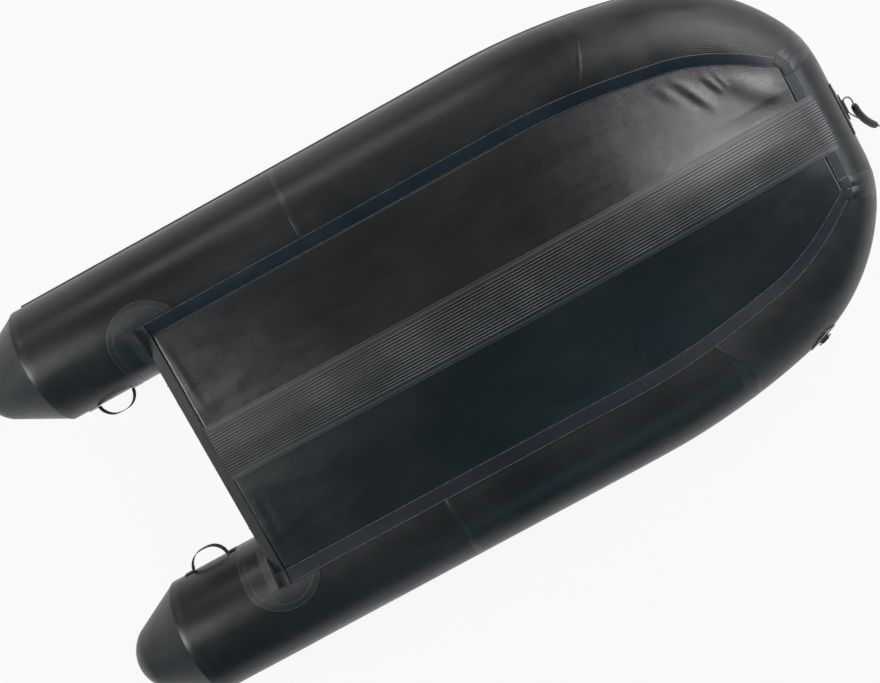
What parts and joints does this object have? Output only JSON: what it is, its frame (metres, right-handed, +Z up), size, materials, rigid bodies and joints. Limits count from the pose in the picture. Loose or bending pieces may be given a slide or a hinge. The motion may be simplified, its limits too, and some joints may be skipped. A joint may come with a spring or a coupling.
{
  "type": "inflatable boat",
  "caption": "Inflatable boat with a soft keeled bottom, two side tubes with conical tails and a board transom, stored upside down on its tubes.",
  "frame": {"origin": "middle of the object's box, on the floor that it lies on upside down", "axes": "+X to the bow, +Z up, which is towards the keel because the boat lies bottom up, +Y to the starboard tube"},
  "size_m": [3.3197, 1.5692, 0.5967],
  "materials": {
    "tube_fabric": "satin coated fabric",
    "bottom_fabric": "satin coated fabric",
    "strake_rubber": "satin ribbed rubber",
    "rub_rubber": "satin rubber",
    "transom_wood": "painted plywood",
    "floor_wood": "varnished plywood",
    "stringer_metal": "mill finish",
    "plain_plastic": "moulded",
    "webbing": "woven webbing",
    "ring_steel": "polished wire",
    "rope_fibre": "braided rope",
    "grip_rubber": "matt sleeve"
  },
  "bodies": {
    "hull": {"aft_floor_board": "floor_wood", "bottom_cloth": "bottom_fabric", "bow_chine_strip": "bottom_fabric", "bow_floor_board": "floor_wood", "bow_ring_patch": "tube_fabric", "bow_ring_strap": "webbing", "bow_rub_strake": "rub_rubber", "bow_tube": "tube_fabric", "bow_valve": "plain_plastic", "drain_plug": "plain_plastic", "fore_floor_board": "floor_wood", "inner_motor_pad": "plain_plastic", "keel_strake": "strake_rubber", "middle_floor_board": "floor_wood", "outer_motor_pad": "plain_plastic", "port_bench_rail": "plain_plastic", "port_bow_quarter": "tube_fabric", "port_chine_strip": "bottom_fabric", "port_holder_patch": "tube_fabric", "port_ring_patch": "tube_fabric", "port_ring_strap": "webbing", "port_rowlock_base": "rub_rubber", "port_rub_strake": "rub_rubber", "port_side_tube": "tube_fabric", "port_stringer": "stringer_metal", "port_tail_cone": "tube_fabric", "port_tail_handle": "webbing", "port_towing_eye": "ring_steel", "port_transom_holder": "rub_rubber", "port_valve": "plain_plastic", "starboard_bench_rail": "plain_plastic", "starboard_bow_quarter": "tube_fabric", "starboard_chine_strip": "bottom_fabric", "starboard_holder_patch": "tube_fabric", "starboard_ring_patch": "tube_fabric", "starboard_ring_strap": "webbing", "starboard_rowlock_base": "rub_rubber", "starboard_rub_strake": "rub_rubber", "starboard_side_tube": "tube_fabric", "starboard_stringer": "stringer_metal", "starboard_tail_cone": "tube_fabric", "starboard_tail_handle": "webbing", "starboard_towing_eye": "ring_steel", "starboard_transom_holder": "rub_rubber", "starboard_valve": "plain_plastic", "transom_board": "transom_wood"},
    "bench": {"bench_board": "floor_wood", "starboard_bench_hook": "plain_plastic", "port_bench_hook": "plain_plastic"},
    "starboard_rowlock": {"starboard_rowlock": "plain_plastic"},
    "port_rowlock": {"port_rowlock": "plain_plastic"},
    "starboard_tow_ring": {"starboard_tow_ring": "ring_steel"},
    "port_tow_ring": {"port_tow_ring": "ring_steel"},
    "bow_ring": {"bow_ring": "ring_steel", "bow_handle_rope": "rope_fibre", "bow_handle_grip": "grip_rubber"}
  },
  "joints": [
    {"name": "bench_slide", "type": "slide", "parent": "hull", "child": "bench", "axis": [0.9994, 0, 0.035], "range_m": [-0.15, 0.2]},
    {"name": "starboard_rowlock_swivel", "type": "hinge", "parent": "hull", "child": "starboard_rowlock", "pos_m": [-0.50366, 0.73124, 0.07485], "axis": [0.0247, 0.7071, -0.7067], "range_deg": [-90, 90]},
    {"name": "port_rowlock_swivel", "type": "hinge", "parent": "hull", "child": "port_rowlock", "pos_m": [-0.50366, -0.73124, 0.07485], "axis": [0.0247, -0.7071, -0.7067], "range_deg": [-90, 90]},
    {"name": "starboard_ring_swing", "type": "hinge", "parent": "hull", "child": "starboard_tow_ring", "pos_m": [1.05959, 0.68712, 0.30255], "axis": [0.949, -0.3082, -0.0663], "range_deg": [0, 150]},
    {"name": "port_ring_swing", "type": "hinge", "parent": "hull", "child": "port_tow_ring", "pos_m": [1.05959, -0.68712, 0.30255], "axis": [-0.949, -0.3082, 0.0663], "range_deg": [0, 150]},
    {"name": "bow_ring_swing", "type": "hinge", "parent": "hull", "child": "bow_ring", "pos_m": [1.50366, 0, 0.27183], "axis": [0, -1, 0], "range_deg": [0, 60]}
  ]
}
